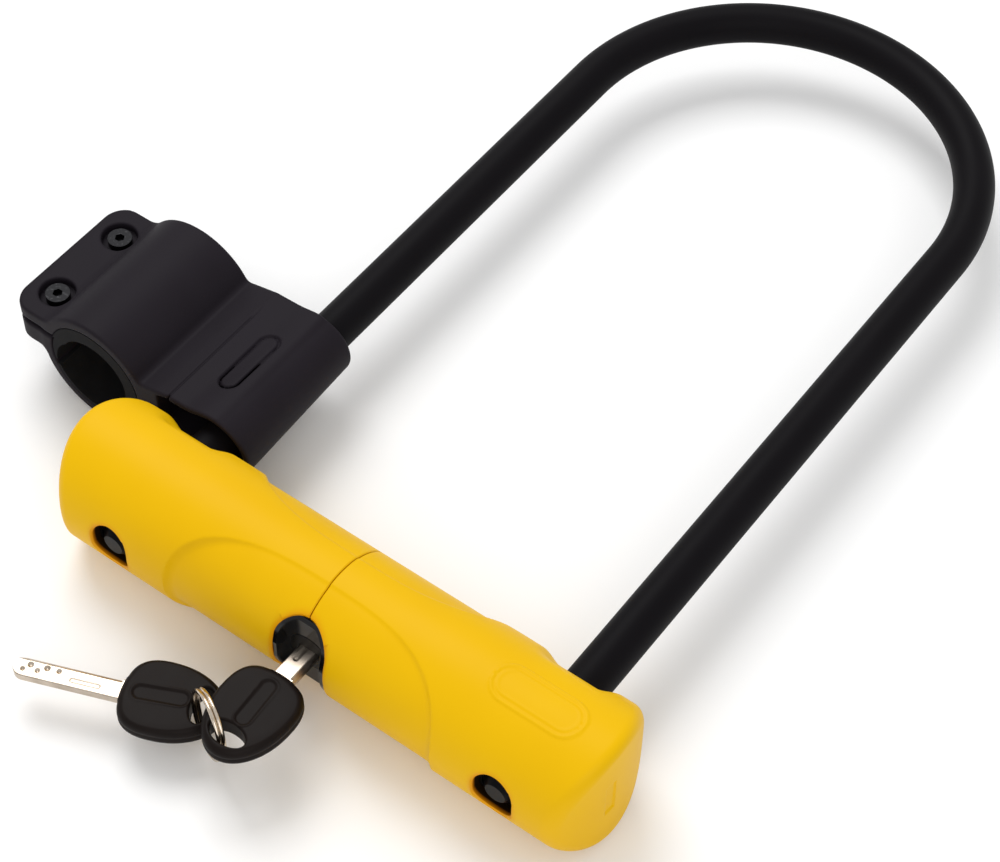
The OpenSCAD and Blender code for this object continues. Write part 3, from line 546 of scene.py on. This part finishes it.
# Nickel silver, milled: a warm grey metal with fine cutter lines and darker handling marks.
nickel_silver, tree, place = new_material("milled_nickel_silver")
stretch = add(tree, "ShaderNodeMapping", {
    "Vector": place, "Rotation": (0, 0, 0.35), "Scale": (2200.0, 420.0, 900.0)})
cuts = add(tree, "ShaderNodeTexNoise", {"Vector": stretch.outputs["Vector"], "Scale": 1.0, "Detail": 3.0})
stain = add(tree, "ShaderNodeTexNoise", {"Vector": place, "Scale": 260.0, "Detail": 4.0})
tone = add(tree, "ShaderNodeMix", {
    "Factor": stain.outputs["Fac"], "A": linear("#9C8C78"), "B": linear("#E2D6C8")}, data_type="RGBA")
matt = add(tree, "ShaderNodeMapRange", {"Value": stain.outputs["Fac"], "To Min": 0.2, "To Max": 0.42})
bump = add(tree, "ShaderNodeBump", {"Height": cuts.outputs["Fac"], "Strength": 0.35, "Distance": 0.00003})
metal = add(tree, "ShaderNodeBsdfPrincipled", {
    "Base Color": tone.outputs["Result"], "Metallic": 1.0, "Roughness": matt.outputs["Result"],
    "Normal": bump.outputs["Normal"]})
add(tree, "ShaderNodeOutputMaterial", {"Surface": metal.outputs["BSDF"]})

bow_shape, blade_shape = bow_points(), blade_points()
spare_axes = np.array([[math.cos(SPARE_TURN), math.sin(SPARE_TURN), 0],
                       [-math.sin(SPARE_TURN), math.cos(SPARE_TURN), 0], [0, 0, 1]])
for key_name, axes, at in (("key", np.eye(3), (0, KEY_FACE, 0)), ("spare_key", spare_axes, SPARE_AT)):
    grid = np.arange(bow_shape.shape[0] * bow_shape.shape[1]).reshape(bow_shape.shape[:2])
    make_piece(key_name + "_moulded_bow", bow_shape.reshape(-1, 3) @ axes + at,
               [grid_faces(grid, wrap_rows=True, wrap_cols=True)[:, ::-1]],
               key_name, [key_name + "_bow"], bow_abs, sharp=50.0)
    grid = np.arange(blade_shape.shape[0] * blade_shape.shape[1]).reshape(blade_shape.shape[:2])
    make_piece(key_name + "_milled_blade", blade_shape.reshape(-1, 3) @ axes + at,
               [grid_faces(grid, wrap_cols=True), grid[:1], grid[-1:, ::-1]],
               key_name, [key_name + "_blade"], nickel_silver, sharp=32.0)


# ---- Split ring ---------------------------------------------------------------------------
# Two turns of nickel-plated spring wire, pressed flat against each other, that pass through
# the holes of both bows.

RING_AT = np.array([-8.4, -42.6, -4.35])
RING_N = np.array([0.463746, 0.879572, -0.106264])
RING_R, WIRE_R = 8.9, 0.57

# Bright nickel plate: a warm mirror with faint draw lines along the wire.
plated_wire, tree, place = new_material("nickel_plated_wire")
draw = add(tree, "ShaderNodeTexNoise", {"Vector": place, "Scale": 1500.0, "Detail": 2.0})
tone = add(tree, "ShaderNodeMix", {
    "Factor": draw.outputs["Fac"], "A": linear("#B9A78F"), "B": linear("#E8DDCF")}, data_type="RGBA")
bump = add(tree, "ShaderNodeBump", {"Height": draw.outputs["Fac"], "Strength": 0.2, "Distance": 0.00003})
metal = add(tree, "ShaderNodeBsdfPrincipled", {
    "Base Color": tone.outputs["Result"], "Metallic": 1.0, "Roughness": 0.2,
    "Normal": bump.outputs["Normal"]})
add(tree, "ShaderNodeOutputMaterial", {"Surface": metal.outputs["BSDF"]})

# The wire's path is a circle in two turns; it steps from one level to the other within 50 degrees.
first = np.cross(RING_N, [0, 0, 1.0])
first /= np.linalg.norm(first)
second = np.cross(RING_N, first)
wind = np.radians(np.linspace(2, 718, 260))
level = 0.576 * (2 * ease((wind - np.radians(335)) / np.radians(50)) - 1)
outwards = np.cos(wind)[:, None] * first + np.sin(wind)[:, None] * second
section = np.linspace(0, 2 * np.pi, 15)[:-1]
wire = (RING_AT + RING_R * outwards + level[:, None] * RING_N)[:, None, :] \
    + WIRE_R * (np.cos(section)[None, :, None] * outwards[:, None, :]
                + np.sin(section)[None, :, None] * RING_N)
grid = np.arange(wire.shape[0] * wire.shape[1]).reshape(wire.shape[:2])
make_piece("split_ring_wire", wire.reshape(-1, 3),
           [grid_faces(grid, wrap_cols=True), grid[:1], grid[-1:, ::-1]],
           "ring", ["key_ring"], plated_wire, sharp=50.0)


# ---- Frame bracket ------------------------------------------------------------------------
# The bracket's shell and its hinged jaw are glass-filled nylon mouldings. The shell is one
# piece: a screw flange, the upper half of the frame clamp, a web, and the sleeve on the leg.

FRONT, BACK, MIDDLE = 22.0, 68.0, 45.0
CLAMP_X, CLAMP_Z, CLAMP_R, CLAMP_IN = -104.0, -1.5, 18.7, 15.5
HINGE_X, HINGE_Z, KNUCKLE_R, KNUCKLE_GAP = -87.4, -10.0, 3.4, 11.5
SCREW_X, SCREW_YS = -125.2, (32.3, 57.7)
STEP_X = -76.5
FLANGE_EDGE, FLANGE_CORNER = -133.8, 7.0
FLANGE_TOP, FLANGE_BOTTOM, JAW_TOP, JAW_BOTTOM = 8.5, 4.2, 3.1, -3.9


def join(a, b, k):
    """Union of two fields with a fillet: the lower one, less a parabola where they differ by less than k."""
    h = np.maximum(k - np.abs(a - b), 0) / k
    return np.minimum(a, b) - h * h * k / 4


def both(a, b, k):
    """What two fields share, with its edge rounded: the opposite of join."""
    return -join(-a, -b, k)


def flange_field(x, y, z, bottom, top):
    """A plate with rounded outer corners: past its outline in plan and past its faces, edges rounded."""
    dx = FLANGE_EDGE + FLANGE_CORNER - x
    dy = np.abs(y - MIDDLE) - (BACK - FRONT) / 2 + FLANGE_CORNER
    inside = np.minimum(np.maximum(dx, dy), 0)
    corner = np.hypot(np.maximum(dx, 0), np.maximum(dy, 0)) + inside - FLANGE_CORNER
    plan = np.maximum(corner, x - CLAMP_X)
    return both(plan, np.maximum(z - top, bottom - z), 1.0)


def shell_field(x, y, z):
    """Distance-like field of the shell, negative inside.

    Circles, a tapered sleeve and a web are joined with fillets, and planes trim them. The bores, the
    front cavity, the counterbores and the grooves are taken away.
    """
    side = x - CLAMP_X
    hump = np.hypot(side, z - CLAMP_Z) - CLAMP_R
    sleeve = np.hypot(x + LEG_X, z) - (11.4 - 1.6 * (y - FRONT) / (BACK - FRONT))
    web_top = np.interp(x, [-94, -87.4, -76.5, -61], [7.0, 6.6, 9.2, 9.7]).astype(x.dtype)
    web = both(np.maximum(z - web_top, -7 - z), np.abs(x + 77.5) - 16.5, 1.5)
    body = join(join(hump, web, 1.6), sleeve, 3.0)
    cavity = np.maximum(np.maximum(body + 1.7, -80.5 - x), np.maximum(y - 40.0, -6.4 - z))
    body = join(body, flange_field(x, y, z, FLANGE_BOTTOM, FLANGE_TOP), 2.4)
    body = both(body, np.where(side < 0, FLANGE_BOTTOM - z, -60.0).astype(x.dtype), 0.8)
    under_hump = np.maximum(np.maximum(-1 - side, side - 19.3), z + 3)
    body = both(body, -under_hump, 0.5)
    knuckle = np.hypot(x - HINGE_X, z - HINGE_Z) - KNUCKLE_R
    arm = np.maximum(np.abs(x - HINGE_X - 1.7) - 1.7, np.maximum(z + 2.2, HINGE_Z - z))
    ends = KNUCKLE_GAP - np.abs(y - MIDDLE)
    body = join(body, np.maximum(join(knuckle, arm, 0.6), ends), 0.8)
    body = both(body, np.abs(y - MIDDLE) - (BACK - FRONT) / 2, 1.1)
    body = both(body, CLAMP_IN - np.hypot(side, z - CLAMP_Z), 0.5)
    body = both(body, 8.05 - np.hypot(x + LEG_X, z), 0.5)
    body = both(body, -np.maximum(np.hypot(x + LEG_X, z) - 9.8, y - 44), 0.4)
    body = both(body, -cavity, 0.6)
    body = both(body, 1.5 - np.hypot(x - HINGE_X, z - HINGE_Z), 0.3)
    for screw_y in SCREW_YS:
        off = np.hypot(x - SCREW_X, y - screw_y)
        body = both(body, 2.25 - off, 0.3)
        body = both(body, -np.maximum(off - 5.1, 5.9 - z), 0.6)
    above = z > 2
    pill = past_stadium(y - 43.7, x + 66.3, 10.8, 2.9)
    groove = 0.75 * ease(1 - np.abs(pill) / 0.7) + 0.15 * ease(-pill / 0.3)
    step = np.clip((62.0 - y) / 6.0, 0, 1)
    line = 0.6 * ease(1 - np.abs(x - STEP_X) / 0.6)
    lowered = 0.22 * ease((STEP_X - x) / 0.3) * ease((x - STEP_X + 5) / 5)
    groove = groove + step * (line + lowered)
    return body + np.where(above, groove, 0).astype(x.dtype)


def jaw_field(x, y, z):
    """Field of the jaw: the clamp's lower half and its flange, joined with a fillet.

    It is trimmed under the shell. The middle knuckle is added; the hinge and screw holes and the nuts'
    pockets are taken away.
    """
    side = x - CLAMP_X
    body = join(np.hypot(side, z - CLAMP_Z) - CLAMP_R, flange_field(x, y, z, JAW_BOTTOM, JAW_TOP), 2.4)
    body = both(body, np.where(side < -8, z - JAW_TOP, z + 3.6).astype(x.dtype), 0.5)
    knuckle = np.maximum(np.hypot(x - HINGE_X, z - HINGE_Z) - KNUCKLE_R, np.abs(y - MIDDLE) - KNUCKLE_GAP)
    body = join(body, knuckle, 0.8)
    body = both(body, np.abs(y - MIDDLE) - (BACK - FRONT) / 2, 1.1)
    relief = np.minimum(np.hypot(x - HINGE_X, z - HINGE_Z) - KNUCKLE_R - 0.5,
                        np.maximum(HINGE_X - 0.5 - x, HINGE_Z - z))
    body = both(body, -np.maximum(relief, KNUCKLE_GAP - 0.3 - np.abs(y - MIDDLE)), 0.3)
    body = both(body, CLAMP_IN - np.hypot(side, z - CLAMP_Z), 0.5)
    body = both(body, 1.55 - np.hypot(x - HINGE_X, z - HINGE_Z), 0.3)
    for screw_y in SCREW_YS:
        off = np.hypot(x - SCREW_X, y - screw_y)
        body = both(body, 2.45 - off, 0.3)
        dx, dy = np.abs(x - SCREW_X), np.abs(y - screw_y)
        hexagon = np.maximum(dy, dy / 2 + dx * 0.866) - 3.55
        body = both(body, -np.maximum(hexagon, z - JAW_BOTTOM - 3.2), 0.3)
    return body


def skin(field, low, high, step):
    """The surface where a field is zero, from a cubic grid.

    Each cell that the surface crosses gets one point, the mean of the crossings on its edges, which is
    then moved along the field's slope onto the surface. Each crossed grid edge gets a face between its
    four cells.
    """
    lines = [np.arange(a, b + step, step, dtype=np.float32) for a, b in zip(low, high)]
    value = field(*np.meshgrid(*lines, indexing="ij"))
    shape = np.array(value.shape)
    cells, spots, rings = [], [], []
    for axis in range(3):
        start = tuple(slice(0, -1) if n == axis else slice(None) for n in range(3))
        end = tuple(slice(1, None) if n == axis else slice(None) for n in range(3))
        a, b = value[start], value[end]
        at = np.argwhere((a < 0) != (b < 0))
        va, vb = a[tuple(at.T)], b[tuple(at.T)]
        spot = at.astype(float)
        spot[:, axis] += va / (va - vb)
        u, w = (axis + 1) % 3, (axis + 2) % 3
        ring = []
        for du, dw in ((-1, -1), (0, -1), (0, 0), (-1, 0)):
            cell = at.copy()
            cell[:, u] += du
            cell[:, w] += dw
            ring.append(np.ravel_multi_index(cell.T, shape))
        ring = np.stack(ring, 1)
        cells.append(ring.ravel())
        spots.append(np.repeat(spot, 4, axis=0))
        rings.append(np.where((va < 0)[:, None], ring, ring[:, ::-1]))
    numbers, which = np.unique(np.concatenate(cells), return_inverse=True)
    spots = np.concatenate(spots)
    share = np.bincount(which)
    points = np.stack([np.bincount(which, spots[:, n]) / share for n in range(3)], 1) * step + np.array(low)
    faces = np.searchsorted(numbers, np.concatenate(rings))
    small = step / 8
    for _ in range(3):
        here = field(*points.T)
        slope = np.stack([field(*(points + small * unit).T) - field(*(points - small * unit).T)
                          for unit in np.eye(3)], 1) / (2 * small)
        move = here[:, None] * slope / np.maximum((slope ** 2).sum(1), 0.2)[:, None]
        size = np.linalg.norm(move, axis=1, keepdims=True)
        points = points - move * np.minimum(1, 0.3 * step / np.maximum(size, 1e-9))
    return points, faces


# Glass-filled nylon: a cool matt black from an etched mould, with a soft sheen on the crowns.
filled_nylon, tree, place = new_material("glass_filled_nylon")
etch = add(tree, "ShaderNodeTexNoise", {"Vector": place, "Scale": 1900.0, "Detail": 3.0})
cloud = add(tree, "ShaderNodeTexNoise", {"Vector": place, "Scale": 70.0, "Detail": 3.0})
tone = add(tree, "ShaderNodeMix", {
    "Factor": cloud.outputs["Fac"], "A": linear("#1B171C"), "B": linear("#211D23")}, data_type="RGBA")
bump = add(tree, "ShaderNodeBump", {"Height": etch.outputs["Fac"], "Strength": 0.35, "Distance": 0.00006})
matt = add(tree, "ShaderNodeMapRange", {"Value": cloud.outputs["Fac"], "To Min": 0.5, "To Max": 0.62})
plastic = add(tree, "ShaderNodeBsdfPrincipled", {
    "Base Color": tone.outputs["Result"], "Roughness": matt.outputs["Result"], "IOR": 1.53,
    "Specular IOR Level": 0.07, "Normal": bump.outputs["Normal"]})
add(tree, "ShaderNodeOutputMaterial", {"Surface": plastic.outputs["BSDF"]})

step = 0.44
for name, field, low, high, body, node in (
        ("nylon_bracket_shell", shell_field, (-135.5, 20.4, -15.0), (-48.0, 69.6, 19.5),
         "bracket", "bracket_shell"),
        ("nylon_clamp_jaw", jaw_field, (-135.5, 20.4, -22.0), (-82.0, 69.6, 4.6),
         "jaw", "clamp_jaw")):
    points, faces = skin(field, low, high, step)
    make_piece(name, points, [faces], body, [node], filled_nylon, sharp=60.0)

# Cast polyurethane rubber for the clamp's liners and the sleeve's bush: dull, dusty and faintly ribbed.
liner_rubber, tree, place = new_material("cast_grey_rubber")
dust = add(tree, "ShaderNodeTexNoise", {"Vector": place, "Scale": 300.0, "Detail": 4.0})
tone = add(tree, "ShaderNodeMix", {
    "Factor": dust.outputs["Fac"], "A": linear("#131314"), "B": linear("#1F1F21")}, data_type="RGBA")
bump = add(tree, "ShaderNodeBump", {"Height": dust.outputs["Fac"], "Strength": 0.4, "Distance": 0.0001})
rubber = add(tree, "ShaderNodeBsdfPrincipled", {
    "Base Color": tone.outputs["Result"], "Roughness": 0.78, "IOR": 1.5, "Specular IOR Level": 0.08,
    "Normal": bump.outputs["Normal"]})
add(tree, "ShaderNodeOutputMaterial", {"Surface": rubber.outputs["BSDF"]})

# Black zinc plate on the screws and nuts: a dark metal, worn to grey in small flecks.
black_zinc, tree, place = new_material("black_zinc_plate")
fleck = add(tree, "ShaderNodeTexNoise", {"Vector": place, "Scale": 1100.0, "Detail": 4.0})
worn = add(tree, "ShaderNodeMapRange", {"Value": fleck.outputs["Fac"], "From Min": 0.55, "From Max": 0.75})
tone = add(tree, "ShaderNodeMix", {
    "Factor": worn.outputs["Result"], "A": linear("#101012"), "B": linear("#2E2E30")}, data_type="RGBA")
metal = add(tree, "ShaderNodeBsdfPrincipled", {
    "Base Color": tone.outputs["Result"], "Metallic": 0.85, "Roughness": 0.36})
add(tree, "ShaderNodeOutputMaterial", {"Surface": metal.outputs["BSDF"]})

for inner in ("clamp_liner", "jaw_liner", "leg_bush"):
    wear(inner, liner_rubber)
for inner in ("clamp_screws", "clamp_nuts"):
    wear(inner, black_zinc)
wear("jaw_hinge_pin", ground_steel)


# ---- Floor, lights and camera -------------------------------------------------------------
# A plain white sheet under the lock, two large soft lamps and an even sky; the camera looks
# down on it from the front and the right through a long lens.

FLOOR_Z = -20.6
floor_paint, tree, place = new_material("white_paper_sheet")
fibre = add(tree, "ShaderNodeTexNoise", {"Vector": place, "Scale": 6.0, "Detail": 2.0})
tone = add(tree, "ShaderNodeMix", {
    "Factor": fibre.outputs["Fac"], "A": linear("#F8F8F8"), "B": linear("#FCFCFC")}, data_type="RGBA")
paper = add(tree, "ShaderNodeBsdfPrincipled", {"Base Color": tone.outputs["Result"], "Roughness": 0.9})
add(tree, "ShaderNodeOutputMaterial", {"Surface": paper.outputs["BSDF"]})
sheet = bpy.data.meshes.new("floor")
reach = 4.0
corners = [(sx * reach, sy * reach, FLOOR_Z * MM) for sx, sy in ((-1, -1), (1, -1), (1, 1), (-1, 1))]
sheet.from_pydata(corners, [], [(0, 1, 2, 3)])
sheet.materials.append(floor_paint)
floor = bpy.data.objects.new("floor", sheet)
bpy.context.scene.collection.objects.link(floor)

sky = bpy.data.worlds.new("studio")
sky.use_nodes = True
sky.node_tree.nodes["Background"].inputs["Color"].default_value = (1, 1, 1, 1)
sky.node_tree.nodes["Background"].inputs["Strength"].default_value = 0.68
bpy.context.scene.world = sky
bpy.context.scene.view_settings.view_transform = "Standard"

for name, place, size, power in (("key_lamp", (-0.7, 0.5, 1.3), 0.9, 12.5),
                                 ("fill_lamp", (0.9, -0.9, 1.1), 1.1, 6.5)):
    lamp = bpy.data.lights.new(name, "AREA")
    lamp.size = size
    lamp.energy = power
    holder = bpy.data.objects.new(name, lamp)
    bpy.context.scene.collection.objects.link(holder)
    holder.location = place
    z_axis = np.array(place) - [0, 0.08, 0]
    z_axis /= np.linalg.norm(z_axis)
    x_axis = np.cross([0, 0, 1.0], z_axis)
    x_axis /= np.linalg.norm(x_axis)
    y_axis = np.cross(z_axis, x_axis)
    turned = np.eye(4)
    turned[:3, 0], turned[:3, 1], turned[:3, 2], turned[:3, 3] = x_axis, y_axis, z_axis, place
    holder.matrix_world = Matrix(turned.tolist())

lens = bpy.data.cameras.new("camera")
lens.sensor_width = 36.0
lens.lens = 91.08
lens.clip_start = 0.02
lens.clip_end = 20.0
camera = bpy.data.objects.new("camera", lens)
bpy.context.scene.collection.objects.link(camera)
right = np.array([0.80443571, 0.59398908, 0.00775649])
down = np.array([0.47200424, -0.6311954, -0.61547085])
forward = np.array([-0.36068711, 0.49876782, -0.78812148])
pose = np.eye(4)
pose[:3, 0], pose[:3, 1], pose[:3, 2] = right, -down, -forward
pose[:3, 3] = np.array([239.6, -264.865, 531.127]) * MM
camera.matrix_world = Matrix(pose.tolist())
bpy.context.scene.camera = camera
